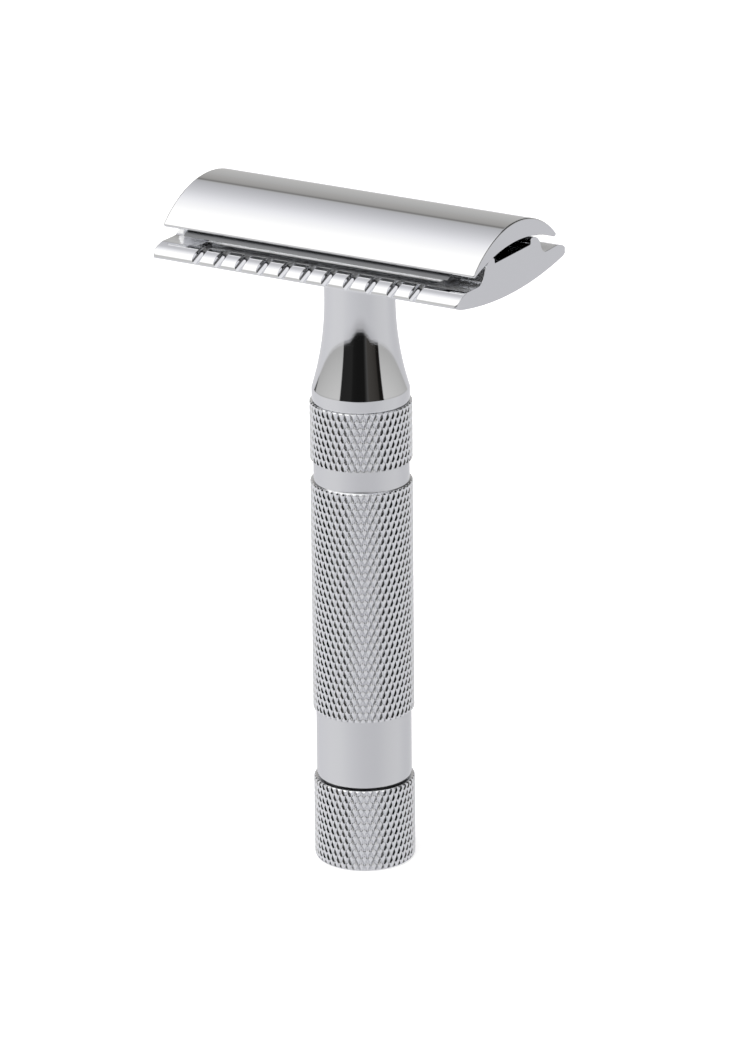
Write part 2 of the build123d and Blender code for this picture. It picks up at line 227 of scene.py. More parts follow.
def anticlockwise(outline):
    following = outline[1:] + outline[:1]
    area = sum(p[0] * q[1] - q[0] * p[1] for p, q in zip(outline, following))
    return outline if area > 0 else outline[::-1]


def end_round(x_end, r, steps):
    """Stations (x, inset) that round the edge of an end face, inner to outer."""
    return [(x_end - r * (1 - sin(s / steps * pi / 2)),
             r * (1 - cos(s / steps * pi / 2))) for s in range(steps + 1)]


def prism_x(name, outline, half_l, round_r=0.0, steps=0):
    """Closed outline of (y, z) drawn out along X to both sides of x = 0."""
    outline = no_repeats(anticlockwise(outline))
    end = end_round(half_l, round_r, steps) if round_r > 0 else [(half_l, 0.0)]
    stations = [(-x, depth) for x, depth in reversed(end)] + end
    rings = [[(x, y, z) for y, z in inset(outline, depth)] for x, depth in stations]
    return loft(name, rings, merge=False)


def join_mesh(obs):
    """One object from several, as separate shells."""
    base = obs[0]
    bm = bmesh.new()
    for ob in obs:
        bm.from_mesh(ob.data)
    bm.to_mesh(base.data)
    bm.free()
    for ob in obs[1:]:
        bpy.data.objects.remove(ob)
    return base


def bake_modifier(ob):
    depsgraph = bpy.context.evaluated_depsgraph_get()
    depsgraph.update()
    mesh = bpy.data.meshes.new_from_object(ob.evaluated_get(depsgraph))
    ob.modifiers.clear()
    old = ob.data
    ob.data = mesh
    bpy.data.meshes.remove(old)


def cut(ob, cutter, operation="DIFFERENCE"):
    """Boolean that uses the cutter up."""
    mod = ob.modifiers.new("cut", "BOOLEAN")
    mod.operation = operation
    mod.solver = "EXACT"
    mod.object = cutter
    bake_modifier(ob)
    bpy.data.objects.remove(cutter)


def tidy(ob, angle, dissolve=True):
    """Clean mesh, smooth below the given angle in degrees."""
    bm = bmesh.new()
    bm.from_mesh(ob.data)
    bmesh.ops.remove_doubles(bm, verts=bm.verts, dist=1.5e-6)
    if dissolve:
        bmesh.ops.dissolve_degenerate(bm, edges=bm.edges, dist=1e-6)
    bm.to_mesh(ob.data)
    bm.free()
    for face in ob.data.polygons:
        face.use_smooth = True
    ob.data.set_sharp_from_angle(angle=radians(angle))
    # keep the flats flat: shading turns only across the small rounds
    mod = ob.modifiers.new("normals", "WEIGHTED_NORMAL")
    mod.mode = "FACE_AREA"
    mod.weight = 50
    mod.keep_sharp = True
    bake_modifier(ob)
    return ob


# ---------------------------------------------------------------------- curves
def catmull(pts, sub):
    """Smooth curve through 2D points, sub steps to each span."""
    out = []
    n = len(pts)
    for i in range(n - 1):
        spans = zip(pts[max(i - 1, 0)], pts[i], pts[i + 1], pts[min(i + 2, n - 1)])
        spans = list(spans)
        for s in range(sub):
            t = s / sub
            out.append(tuple(0.5 * ((2 * b) + (-a + c) * t
                                    + (2 * a - 5 * b + 4 * c - d) * t * t
                                    + (-a + 3 * b - 3 * c + d) * t ** 3)
                             for a, b, c, d in spans))
    out.append(tuple(pts[-1]))
    return out


def arc(cx, cy, r, start, end, n):
    """Points (x, y) of an arc; angles from +x."""
    angles = [start + (end - start) * i / n for i in range(n + 1)]
    return [(cx + r * cos(a), cy + r * sin(a)) for a in angles]


def crown(r, centre_z, start, end, n, up=1):
    """Points (y, z) of an arc over (or under) its centre; angles from the Z axis."""
    angles = [start + (end - start) * i / n for i in range(n + 1)]
    return [(r * sin(a), centre_z + up * r * cos(a)) for a in angles]


def mirror(pts):
    return [(-y, z) for y, z in reversed(pts)]


def half_turn(pts):
    return [(-x, -y) for x, y in pts]


def clamp01(v):
    return min(1.0, max(0.0, v))


def cap_outer_z(y):
    return CAP_TOP_Z - CAP_R_OUT + sqrt(CAP_R_OUT ** 2 - y * y)


def cap_under_z(y):
    return CAP_UNDER_Z - CAP_R_IN + sqrt(CAP_R_IN * CAP_R_IN - y * y)


def seat_z(y):
    """Blade seat of the plate."""
    return cap_under_z(y) - BLADE_T - 2 * BLADE_GAP


# --------------------------------------------------------------------- top cap
def build_cap():
    lip_y = CAP_HALF_W - 0.14
    low_y = CAP_HALF_W - 0.39
    spread_out = asin(lip_y / CAP_R_OUT)
    outer = crown(CAP_R_OUT, CAP_TOP_Z - CAP_R_OUT, -spread_out, spread_out, 112)
    # rounded long edge (y, z), from the outer crown down to the inner one
    lip = catmull([(lip_y, cap_outer_z(lip_y)), (CAP_HALF_W - 0.03, 82.43),
                   (CAP_HALF_W, 82.31), (CAP_HALF_W - 0.03, 82.19),
                   (CAP_HALF_W - 0.12, 82.10), (CAP_HALF_W - 0.24, 82.05),
                   (low_y, cap_under_z(low_y))], 4)[1:-1]
    spread_in = asin(low_y / CAP_R_IN)
    under = crown(CAP_R_IN, CAP_UNDER_Z - CAP_R_IN, spread_in, -spread_in, 64)
    cap = prism_x("top_cap_shell", outer + lip + under + mirror(lip), CAP_HALF_L,
                  round_r=CAP_END_ROUND, steps=5)
    holes = [cylinder(CAP_BORE_R, CAP_UNDER_Z - 1, CAP_BORE_TOP_Z)]
    holes += [cylinder(CAP_PIN_R, CAP_UNDER_Z - 3, CAP_PIN_TOP_Z, x) for x in (-PIN_X, PIN_X)]
    cut(cap, join_mesh(holes))
    return tidy(cap, 28)


# ----------------------------------------------------------------------- blade
def blade_strip():
    """Strip bent to the cap's underside and thinned at both edges."""
    half = BLADE_HALF_W
    edge = [half, half - 0.16, half - GRIND_W]
    n = 46
    inner = [-half + 2 * half * i / n for i in range(n + 1)]
    stations = [-y for y in edge] + [y for y in inner if abs(y) < half - 0.6] + edge[::-1]
    middle_r = CAP_R_IN - BLADE_GAP - BLADE_T / 2
    top, low = [], []
    for y in stations:
        half_t = BLADE_T / 2 * min(1.0, 0.06 + (half - abs(y)) / GRIND_W)
        middle = CAP_UNDER_Z - CAP_R_IN + sqrt(middle_r ** 2 - y * y)
        top.append((y, middle + half_t))
        low.append((y, middle - half_t))
    return prism_x("blade_strip", top + low[::-1], BLADE_HALF_L + 1)


def blade_outline():
    """Seen from above, with a notch at each corner."""
    r = BLADE_CORNER_R
    quarter = [(BLADE_SHOULDER_X, BLADE_HALF_W + 0.5)]
    quarter += arc(BLADE_SHOULDER_X + r, BLADE_TAB_HALF_W + r, r, pi, 1.5 * pi, 6)
    quarter += arc(BLADE_HALF_L - r, BLADE_TAB_HALF_W - r, r, pi / 2, 0.0, 6)
    side = quarter + [(x, -y) for x, y in reversed(quarter)]
    return side + half_turn(side)


def blade_opening():
    """Slot along the middle, widened round the stud and the pins."""
    turn = asin(BLADE_SLOT_HALF_W / BLADE_SLOT_END_R)
    half = arc(-BLADE_SLOT_END_X, 0, BLADE_SLOT_END_R, -turn, turn - 2 * pi, 14)
    for x, r in ((-PIN_X, BLADE_PIN_R), (0, BLADE_CENTRE_R), (PIN_X, BLADE_PIN_R)):
        turn = asin(BLADE_SLOT_HALF_W / r)
        half += arc(x, 0, r, pi - turn, turn, 14)
    return half + half_turn(half)


def build_blade():
    blade = blade_strip()
    cut(blade, prism_z("cutter", blade_outline(), 79, 88), "INTERSECT")
    cut(blade, prism_z("cutter", blade_opening(), 79, 88))
    return tidy(blade, 20)


# ------------------------------------------------------------------ base plate
# Outlines of (y, z) on the +Y side.
# Long edge: over the top to the widest point, then down towards the underside.
NOSE_TOP = [(11.05, 80.58), (11.30, 80.52), (11.60, 80.44), (11.90, 80.355),
            (12.20, 80.26), (12.50, 80.13), (12.78, 79.96), (13.02, 79.76),
            (13.20, 79.52), (PLATE_HALF_W, 79.28)]
NOSE_LOW = [NOSE_TOP[-1], (13.26, 79.14), (13.10, 79.02)]
# Where both sections meet the nose.
NOSE_START = (10.90, 80.585)
# Top of an end block, from beside the recess outwards.
END_TOP = [(4.15, 82.80), (4.30, 82.86), (SLOT_HALF, 82.95), (4.62, 83.15), (4.95, 83.20),
           (5.55, 83.08), (6.10, 82.80), (6.50, 82.42), (6.80, 81.90), (7.10, 81.30),
           (7.42, 80.86), (7.90, 80.60), (8.60, 80.54), (9.60, 80.56), NOSE_START]
# Channel of the middle: foot of its wall and floor, then its outer slope.
CHANNEL_FOOT = [(WALL_Y, 80.32), (WALL_Y + 0.03, 80.20), (WALL_Y + 0.10, 80.09),
                (WALL_Y + 0.21, 80.02), (WALL_Y + 0.33, CHANNEL_Z), (9.55, CHANNEL_Z)]
CHANNEL_SLOPE = [(9.62, 80.005), (9.85, 80.07), (10.08, 80.20), (10.35, 80.40),
                 (10.62, 80.54), NOSE_START]
# Stations short of an end face, for the plate's rounded corners.
CORNER_STATIONS = [0.5, 0.36, 0.25, 0.16, 0.10]


def plate_sections():
    """Middle and end sections, each as its closed outline, its point count from
    the axis to the wall and its point count from the wall to the nose."""
    rise = PLATE_EDGE_LOW_Z - PLATE_LOW_Z
    under_r = (UNDER_HALF_W ** 2 + rise ** 2) / (2 * rise)
    spread = asin(UNDER_HALF_W / under_r)
    under = crown(under_r, PLATE_LOW_Z + under_r, spread, -spread, 40, up=-1)
    nose = catmull(NOSE_TOP, 4) + catmull(NOSE_LOW, 2)[1:]
    common = nose + under + mirror(nose)
    top = catmull(END_TOP, 5)
    wall_z = next(z0 + (z1 - z0) * (WALL_Y - y0) / (y1 - y0)
                  for (y0, z0), (y1, z1) in zip(top, top[1:]) if y0 <= WALL_Y <= y1)

    def section(inner, outer):
        half = inner + [(WALL_Y, wall_z)] + outer
        left = [p for p in mirror(half) if p[0] < -1e-9]
        return half + common + left, len(inner), len(outer)

    n = 30
    seat = [(WALL_Y - 0.10) * i / n for i in range(n + 1)]
    seat = [(y, seat_z(y)) for y in seat]
    wall_top = seat_z(WALL_Y)
    seat += [(WALL_Y - 0.05, wall_top - 0.005), (WALL_Y - 0.015, wall_top - 0.04),
             (WALL_Y, wall_top - 0.10)]
    middle = section(seat, CHANNEL_FOOT + catmull(CHANNEL_SLOPE, 4))
    end = section([(0.0, BED_Z)] + [p for p in top if p[0] < WALL_Y - 1e-6],
                  [p for p in top if p[0] > WALL_Y + 1e-6])
    return middle, end


def round_corner(outline, x):
    """Section narrowed to follow the plate's corner radius near its ends."""
    over = abs(x) - (HALF_L - PLATE_CORNER_R)
    if over <= 0:
        return outline
    limit = (PLATE_HALF_W - PLATE_CORNER_R
             + sqrt(max(PLATE_CORNER_R ** 2 - over * over, 0.0)))
    return [(copysign(min(abs(y), limit), y), z) for y, z in outline]


def plate_blank():
    """Middle length with seat and channels, and a solid block at each end."""
    middle, end = plate_sections()
    middle_x = HALF_L - END_BLOCK_L
    verts, faces = [], []

    def add_ring(x, outline):
        start = len(verts)
        verts.extend((x, y, z) for y, z in outline)
        return list(range(start, len(verts)))

    def end_block(side):
        stations = [(HALF_L - back, 0.0) for back in CORNER_STATIONS]
        stations += end_round(HALF_L, PLATE_END_ROUND, 3)
        first = ring = add_ring(side * middle_x, end[0])
        for x, depth in stations:
            outline = inset(round_corner(end[0], x)[::-1], depth)[::-1]
            following = add_ring(side * x, outline)
            faces.extend(band(ring, following))
            ring = following
        faces.append(ring)
        return first

    def step_edges(ring, inner, outer):
        """Ring pieces: +Y channel, -Y channel, and between the walls."""
        left = len(ring) - inner
        return (ring[inner:inner + outer + 1], ring[left - outer:left + 1],
                ring[left:] + ring[:inner + 1])

    def fill(ring):
        ring = no_repeats(ring, lambda i: verts[i])
        flat = [Vector((0, verts[i][1], verts[i][2])) for i in ring]
        for triangle in tessellate_polygon([flat]):
            faces.append([ring[i] for i in triangle])

    rings = [add_ring(x, middle[0]) for x in (-middle_x, middle_x)]
    faces += band(*rings)
    for side, ring in zip((-1, 1), rings):
        block = end_block(side)
        # upright faces where the sections change
        for a, b in zip(step_edges(ring, *middle[1:]), step_edges(block, *end[1:])):
            fill(a + b[::-1])
    return new_object("base_plate_casting", verts, faces)


def recess_cutter():
    """Recess along the middle, open at both ends, that leaves a round pad."""
    # floor corner (y, z)
    foot = [(SLOT_HALF - 0.22, SLOT_FLOOR_Z), (SLOT_HALF - 0.10, SLOT_FLOOR_Z + 0.03),
            (SLOT_HALF - 0.03, SLOT_FLOOR_Z + 0.10), (SLOT_HALF, SLOT_FLOOR_Z + 0.22)]
    outline = foot + [(SLOT_HALF, 86.0), (-SLOT_HALF, 86.0)] + mirror(foot)
    recess = prism_x("cutter", outline, HALF_L + 1)
    cut(recess, cylinder(BOSS_R, 81, 87, segments=96))
    return recess


def scallop_cutter(side, x):
    """Groove falling outwards: half round below, nearly straight walls above."""
    wall_half, wall_top = SCALLOP_R * 1.06, 1.3
    section = arc(0, 0, SCALLOP_R, pi, 2 * pi, 28)
    section += [(wall_half, wall_top), (-wall_half, wall_top)]
    fall_cos, fall_sin = cos(SCALLOP_FALL), sin(SCALLOP_FALL)
    axis_y, axis_z = SCALLOP_Y + SCALLOP_R * fall_sin, SCALLOP_Z + SCALLOP_R * fall_cos
    verts = [(x + across, side * (axis_y + along * fall_cos + up * fall_sin),
              axis_z - along * fall_sin + up * fall_cos)
             for along in SCALLOP_REACH for across, up in section]
    n = len(section)
    ends = [list(range(n)), list(range(n, 2 * n))]
    return new_object("cutter", verts, band(*ends) + ends)


def build_plate():
    plate = plate_blank()
    cut(plate, recess_cutter())
    cut(plate, join_mesh([scallop_cutter(side, (i - (SCALLOPS - 1) / 2) * SCALLOP_PITCH)
                          for side in (-1, 1) for i in range(SCALLOPS)]))
    # holes for the neck, the stud and the guide pins
    bore = [(0, 76.5), (NECK_TOP_R, 76.5), (NECK_TOP_R, 80.6),
            (PLATE_STUD_R, 80.6), (PLATE_STUD_R, 87), (0, 87)]
    holes = [lathe("cutter", bore, 96)]
    holes += [cylinder(PLATE_PIN_R, 79.6, 87, x, segments=48) for x in (-PIN_X, PIN_X)]
    cut(plate, join_mesh(holes))
    return tidy(plate, 28)


# ------------------------------------------------------------------------ neck
# Outlines of (radius, z): the spigot and lip, the flare under the plate, and
# the upper spigot with the bore back down.
NECK_LIP = [(SPIGOT_R, SPIGOT_LOW_Z), (SPIGOT_R, 60.56), (5.98, 60.56), (6.05, 60.60),
            (LIP_R, 60.68), (LIP_R, 62.08), (6.076, 62.12)]
WAIST_LOW_Z, WAIST_TOP_Z = 62.16, 74.6
WAIST_R = 4.38
NECK_FLARE = [(WAIST_R, WAIST_TOP_Z), (4.40, 75.4), (4.50, 76.3), (4.72, 77.0),
              (5.08, 77.5), (5.35, 77.72)]
NECK_BORE = [(NECK_TOP_R, 77.72), (NECK_TOP_R, 80.58), (3.5, 80.58), (3.5, 69.6),
             (2.6, 69.6), (2.6, 67.9), (3.9, 67.9), (3.9, SPIGOT_LOW_Z)]


def waist_r(z):
    """Taper that runs out 12 mm above z = 61.9."""
    rise = min(z - 61.9, 12.0)
    return WAIST_R + 1.773 * (1 - rise / 12) ** 2.11


def build_neck():
    n = 64
    levels = [WAIST_LOW_Z + (WAIST_TOP_Z - WAIST_LOW_Z) * i / n for i in range(n + 1)]
    profile = NECK_LIP + [(waist_r(z), z) for z in levels]
    profile += catmull(NECK_FLARE, 5)[1:] + NECK_BORE
    return tidy(lathe("neck_casting", profile, 192), 40)


# -------------------------------------------------------------- knurled pieces
# Once round the middle of a row of diamonds: (position in half diamonds, height).
ROW_OUTLINE = []
for groove in range(0, 2 * DIAMONDS, 2):
    ROW_OUTLINE.append((groove, DIAMOND_STEPS[0][1]))
    ROW_OUTLINE += [(groove + 1 - reach, h) for reach, h in DIAMOND_STEPS[1:]]
    ROW_OUTLINE += [(groove + 1 + reach, h) for reach, h in DIAMOND_STEPS[:0:-1]]


class KnurlTool:
    """Closed solid, knurled at the side inside its zones and wide outside.
    a counts half diamonds round the axis, b half diamonds up from z0."""

    def __init__(self):
        self.bm = bmesh.new()
        self.known = {}

    def new_vert(self, r, a, z):
        angle = pi / DIAMONDS * a
        return self.bm.verts.new((r * cos(angle) * MM, r * sin(angle) * MM, z * MM))

    def vert(self, a, b, h, z0):
        z = z0 + b * DIAMOND_H / 2
        r = KNURL_R - DIAMOND_STEPS[-1][1] + h
        key = (round((a % (2 * DIAMONDS)) * 1000), round(z * 10000), round(r * 10000))
        if key not in self.known:
            self.known[key] = self.new_vert(r, a, z)
        return self.known[key]

    def wide_ring(self, z):
        return [self.new_vert(TOOL_R, a, z) for a, _ in ROW_OUTLINE]

    def row_ring(self, b, z0):
        return [self.vert(a, b, h, z0) for a, h in ROW_OUTLINE]

    def centre(self, z):
        return [self.bm.verts.new((0, 0, z * MM))] * len(ROW_OUTLINE)

    def bridge(self, ring_a, ring_b):
        for face in band(ring_a, ring_b):
            self.bm.faces.new(face)

    def diamond(self, a, b, z0, up, down):
        """Diamond centred on (a, b), with its upper half, lower half or both."""
        halves = [1] * up + [-1] * down
        for pair in zip(DIAMOND_STEPS, DIAMOND_STEPS[1:]):
            ends = [(self.vert(a - reach, b, h, z0), self.vert(a + reach, b, h, z0))
                    for reach, h in pair]
            left, right = zip(*ends)
            for half in halves:
                tip = [self.vert(a, b + half * reach, h, z0) for reach, h in pair]
                start, end = (right, left) if half > 0 else (left, right)
                self.bm.faces.new([start[0], tip[0], tip[1], start[1]])
                self.bm.faces.new([tip[0], end[0], end[1], tip[1]])
        reach, h = DIAMOND_STEPS[-1]
        flat = [self.vert(a - reach, b, h, z0)]
        if down:
            flat.append(self.vert(a, b - reach, h, z0))
        flat.append(self.vert(a + reach, b, h, z0))
        if up:
            flat.append(self.vert(a, b + reach, h, z0))
        self.bm.faces.new(flat)

    def zone(self, below, z0, rows):
        """Knurled zone above a wide ring; returns the wide ring on top of it."""
        ring = self.wide_ring(z0)
        self.bridge(below, ring)
        self.bridge(ring, self.row_ring(0, z0))
        for b in range(rows + 1):
            for a in range((b + 1) % 2, 2 * DIAMONDS, 2):
                self.diamond(a, b, z0, up=b < rows, down=b > 0)
        high = self.row_ring(rows, z0)
        ring = self.wide_ring(z0 + rows * DIAMOND_H / 2)
        self.bridge(high, ring)
        return ring

    def build(self, zones, z_low, z_high):
        ring = self.wide_ring(z_low)
        self.bridge(self.centre(z_low), ring)
        for z0, rows in zones:
            ring = self.zone(ring, z0, rows)
        top = self.wide_ring(z_high)
        self.bridge(ring, top)
        self.bridge(top, self.centre(z_high))
        bmesh.ops.recalc_face_normals(self.bm, faces=self.bm.faces)
        mesh = bpy.data.meshes.new("tool")
        self.bm.to_mesh(mesh)
        self.bm.free()
        ob = bpy.data.objects.new("tool", mesh)
        scene.collection.objects.link(ob)
        return ob


def knurl_zone(low, high, margin):
    """Start and even number of half rows that cover low to high."""
    low, high = low - margin, high + margin
    rows = ceil((high - low) / (DIAMOND_H / 2))
    rows += rows % 2
    return low - (rows * DIAMOND_H / 2 - (high - low)) / 2, rows


def knurled(name, profile, zones, z_low, z_high):
    """Turned blank, knurled in the zones."""
    blank = lathe(name, profile, TURN_SEGMENTS, TURN_PHASE)
    cut(blank, KnurlTool().build(zones, z_low, z_high), "INTERSECT")
    return tidy(blank, 30, dissolve=False)


def build_tube():
    blank_r = KNURL_R + PROUD
    chamfer = TUBE_CHAMFER + PROUD
    profile = [
        # collar (radius, z)
        (SPIGOT_R, COLLAR_TOP_Z), (KNURL_R - TUBE_CHAMFER, COLLAR_TOP_Z),
        (blank_r, COLLAR_TOP_Z - chamfer), (blank_r, COLLAR_LOW_Z + chamfer),
        (BAND_R, COLLAR_LOW_Z + 0.02),
        # plain groove: soft corners and a barely hollow floor
        (BAND_R - 0.015, COLLAR_LOW_Z - 0.06), (BAND_R - 0.02, COLLAR_LOW_Z - 0.3),
        (BAND_R - 0.02, GRIP_TOP_Z + 0.3), (BAND_R - 0.015, GRIP_TOP_Z + 0.06),
        (BAND_R, GRIP_TOP_Z - 0.02),
        # grip
        (blank_r, GRIP_TOP_Z - chamfer), (blank_r, GRIP_LOW_Z + chamfer),
        (BAND_R, GRIP_LOW_Z + 0.02),
        # plain band down to the lower end
        (BAND_R, GRIP_LOW_Z - 0.2), (BAND_R, TUBE_LOW_Z + 1.2), (BAND_R, TUBE_LOW_Z + 0.10),
        (BAND_R - 0.03, TUBE_LOW_Z + 0.03), (BAND_R - 0.08, TUBE_LOW_Z),
        # bore
        (4.6, TUBE_LOW_Z), (4.6, 19.5), (4.0, 19.5), (4.0, SPIGOT_LOW_Z),
        (SPIGOT_R, SPIGOT_LOW_Z)]
    zones = [knurl_zone(GRIP_LOW_Z, GRIP_TOP_Z, margin=0.35),
             knurl_zone(COLLAR_LOW_Z, COLLAR_TOP_Z, margin=0.25)]
    return knurled("grip_tube_turned", profile, zones, 5.0, 66.0)


def build_knob():
    blank_r = KNURL_R + PROUD
    profile = [
        # rounded foot (radius, z)
        (3.5, 0.0), (5.82, 0.0), (6.02, 0.05), (6.20, 0.17), (6.32, 0.36), (6.37, 0.62),
        (blank_r, 0.9),
        # rounded top edge
        (blank_r, KNOB_TOP_Z - 0.22), (6.33, KNOB_TOP_Z - 0.13), (6.24, KNOB_TOP_Z - 0.04),
        (6.11, KNOB_TOP_Z),
        # spigot and bore
        (3.0, KNOB_TOP_Z), (3.0, KNOB_SPIGOT_TOP_Z), (2.0, KNOB_SPIGOT_TOP_Z), (2.0, 3.0),
        (1.35, 3.0), (1.35, 2.6), (3.5, 2.6)]
    return knurled("knob_turned", profile, [knurl_zone(0.0, KNOB_TOP_Z, margin=0.3)],
                   -3.0, 22.0)


# ------------------------------------------------------------------------ stud
THREAD_PITCH, THREAD_DEPTH = 0.8, 0.43
THREAD_TOP_Z = 82.6
THREAD_TIP_R = 1.75           # chamfered start
THREAD_LEAD, THREAD_RUNOUT = 0.9, 0.5
STUD_SEGMENTS, ROWS_PER_PITCH = 40, 10


def thread_r(z, turn):
    """Radius at height z and a share of a turn; plain above the thread."""
    lead = clamp01((z - stud_low[2]) / THREAD_LEAD)
    crest = abs(2 * ((z / THREAD_PITCH - turn) % 1.0) - 1)
    height = clamp01((crest - 0.12) / 0.76)          # flats at root and crest
    r = min(STUD_R - THREAD_DEPTH * (1 - height),
            THREAD_TIP_R + (STUD_R - THREAD_TIP_R) * lead)
    fade = clamp01((THREAD_TOP_Z - z) / THREAD_RUNOUT)
    return r * fade + STUD_R * (1 - fade)


def build_stud():
    """Threaded stud with a plain shank at the top."""
    low = stud_low[2]
    rows = int((THREAD_TOP_Z - low) / THREAD_PITCH * ROWS_PER_PITCH)
    levels = [low + (THREAD_TOP_Z - low) * i / rows for i in range(rows + 1)]
    rings = []
    for z in levels + [THREAD_TOP_Z + 0.1, stud_high[2]]:
        ring = []
        for k in range(STUD_SEGMENTS):
            angle, r = 2 * pi * k / STUD_SEGMENTS, thread_r(z, k / STUD_SEGMENTS)
            ring.append((r * cos(angle), r * sin(angle), z))
        rings.append(ring)
    return tidy(loft("cap_stud_threaded", rings), 35)


cap = build_cap()
blade = build_blade()
plate = build_plate()
neck = build_neck()
tube = build_tube()
knob = build_knob()
stud = build_stud()


# ---------------------------------------------------------------- shader nodes
def rgba(color, gain=1):
    return (*(c * gain for c in color), 1)


class Nodes:
    """Short ways to add nodes to a tree; inputs may be values or sockets."""

    def __init__(self, tree):
        self.tree = tree
        tree.nodes.clear()

    def add(self, kind, **settings):
        node = self.tree.nodes.new(kind)
        for key, value in settings.items():
            setattr(node, key, value)
        return node

    def put(self, socket, value):
        if isinstance(value, bpy.types.NodeSocket):
            self.tree.links.new(value, socket)
        else:
            socket.default_value = value

    def math(self, operation, *values, clamp=False):
        node = self.add("ShaderNodeMath", operation=operation, use_clamp=clamp)
        for socket, value in zip(node.inputs, values):
            self.put(socket, value)
        return node.outputs[0]

    def ramp(self, fac, stops):
        """Colour ramp from stops of (position, colour)."""
        node = self.add("ShaderNodeValToRGB")
        elements = node.color_ramp.elements
        while len(elements) < len(stops):
            elements.new(0.5)
        for element, (position, _) in zip(elements, stops):
            element.position = position
        for element, (_, color) in zip(elements, stops):
            element.color = rgba(color)
        self.put(node.inputs[0], fac)
        return node.outputs[0]

    def smooth(self, value, start, end, low=0.0, high=1.0):
        """Smooth step from low at start to high at end."""
        node = self.add("ShaderNodeMapRange", interpolation_type="SMOOTHSTEP")
        for key, setting in (("Value", value), ("From Min", start), ("From Max", end),
                             ("To Min", low), ("To Max", high)):
            self.put(node.inputs[key], setting)
        return node.outputs[0]

    def between(self, value, edge1, edge2):
        """One between two soft edges, each given as (where 0, where 1)."""
        return self.math("MULTIPLY", self.smooth(value, *edge1), self.smooth(value, *edge2))

    def mix(self, fac, a, b, mode="MIX"):
        node = self.add("ShaderNodeMix", data_type="RGBA", blend_type=mode)
        for i, value in ((0, fac), (6, a), (7, b)):
            self.put(node.inputs[i], value)
        return node.outputs[2]

    def noise(self, place, scale, detail, rough=0.5):
        node = self.add("ShaderNodeTexNoise")
        for key, value in (("Vector", place), ("Scale", scale), ("Detail", detail),
                           ("Roughness", rough)):
            self.put(node.inputs[key], value)
        return node.outputs["Fac"]

    def scaled(self, place, scale):
        node = self.add("ShaderNodeMapping")
        self.put(node.inputs[0], place)
        node.inputs["Scale"].default_value = scale
        return node.outputs[0]

    def split(self, place):
        node = self.add("ShaderNodeSeparateXYZ")
        self.put(node.inputs[0], place)
        return node.outputs

    def bump(self, height, strength, distance):
        node = self.add("ShaderNodeBump")
        node.inputs["Strength"].default_value = strength
        node.inputs["Distance"].default_value = distance
        self.put(node.inputs["Height"], height)
        return node


def principled(name):
    """New material with its nodes, its shader and its object coordinates."""
    material = bpy.data.materials.new(name)
    material.use_nodes = True
    nodes = Nodes(material.node_tree)
    output = nodes.add("ShaderNodeOutputMaterial")
    shader = nodes.add("ShaderNodeBsdfPrincipled")
    nodes.put(output.inputs[0], shader.outputs[0])
    return material, nodes, shader, nodes.add("ShaderNodeTexCoord").outputs["Object"]


# ------------------------------------------------------------------- materials
def rubbed_edges(nodes, rough):
    """Rounded shading normal, and roughness raised where it turns."""
    bevel = nodes.add("ShaderNodeBevel", samples=4)
    bevel.inputs["Radius"].default_value = 0.00006
    geometry = nodes.add("ShaderNodeNewGeometry")
    dot = nodes.add("ShaderNodeVectorMath", operation="DOT_PRODUCT")
    nodes.put(dot.inputs[0], bevel.outputs[0])
    nodes.put(dot.inputs[1], geometry.outputs["Normal"])
    rub = nodes.smooth(dot.outputs["Value"], 0.995, 0.86)
    return bevel.outputs[0], nodes.math("MULTIPLY_ADD", rub, 0.10, rough)


def turned_lines(nodes, place, rough, period, amount, jitter):
    """Height and roughness of fine rings round Z; period in metres."""
    z = nodes.split(place)[2]
    wobble = nodes.math("MULTIPLY", nodes.noise(place, scale=160.0, detail=2.0), jitter)
    phase = nodes.math("ADD", nodes.math("MULTIPLY", z, 2 * pi / period), wobble)
    wave = nodes.math("SINE", phase)
    scratch = nodes.noise(nodes.scaled(place, (60, 60, 9000)), scale=1.0, detail=5.0, rough=0.7)
    height = nodes.math("MULTIPLY_ADD", wave, 0.35 * amount,
                        nodes.math("MULTIPLY", scratch, amount))
    return height, nodes.math("MULTIPLY_ADD", scratch, 0.10 * min(1, amount), rough)


def knurl_sheen_and_valley_patches(nodes, place, color, tone, rough):
    """Knurl given a brighter tone than the plain bands (painted sheen), with darker, rougher
    noise patches down in its deep valleys; told apart by radius.
    """
    x, y, _ = nodes.split(place)
    radius = nodes.math("SQRT", nodes.math("ADD", nodes.math("POWER", x, 2.0),
                                           nodes.math("POWER", y, 2.0)))
    # darker, rougher noise patches down in the deep valleys, away from the plain bands
    deep = nodes.smooth(radius, 6.21 * MM, 6.13 * MM)
    above_bands = nodes.smooth(radius, 6.11 * MM, 6.07 * MM, 1.0, 0.0)
    deep = nodes.math("MULTIPLY", deep, above_bands)
    patches = nodes.math("MULTIPLY_ADD", nodes.noise(place, scale=900.0, detail=2.0), 0.5, -0.12)
    dark_valley_patches = nodes.math("MULTIPLY", deep, patches, clamp=True)
    # painted sheen: all that stands above the plain bands gets a brighter tone
    raised = nodes.smooth(radius, 6.03 * MM, 6.09 * MM)
    brighter = nodes.mix(1.0, tone, (1.17, 1.17, 1.17, 1), "MULTIPLY")
    tone = nodes.mix(raised, tone, brighter)
    tone = nodes.mix(dark_valley_patches, tone, rgba(color, 0.35))
    return tone, nodes.math("MULTIPLY_ADD", dark_valley_patches, 0.25, rough)


